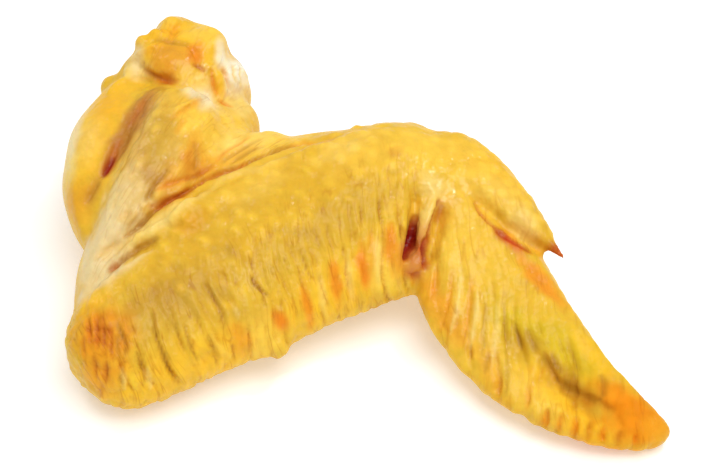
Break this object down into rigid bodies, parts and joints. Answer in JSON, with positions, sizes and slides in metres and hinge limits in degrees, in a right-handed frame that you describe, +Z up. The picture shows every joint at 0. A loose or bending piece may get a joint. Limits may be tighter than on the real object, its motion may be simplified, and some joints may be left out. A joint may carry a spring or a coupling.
{
  "type": "raw chicken wing",
  "caption": "Whole raw chicken wing, folded at the elbow and wrist, with drumette, flat, thumb and pointed tip, lying with its outer side up.",
  "frame": {"origin": "centre of the bounding box's bottom face, on the table the wing lies on", "axes": "+Z up off the table; +X along the longest side, from the shoulder end towards the wing tip; +Y from the elbow towards the shoulder"},
  "size_m": [0.1238, 0.0984, 0.0357],
  "materials": {
    "skin": "moist, slightly glossy golden-yellow raw skin"
  },
  "bodies": {
    "root": {"wing": "skin"}
  },
  "joints": []
}
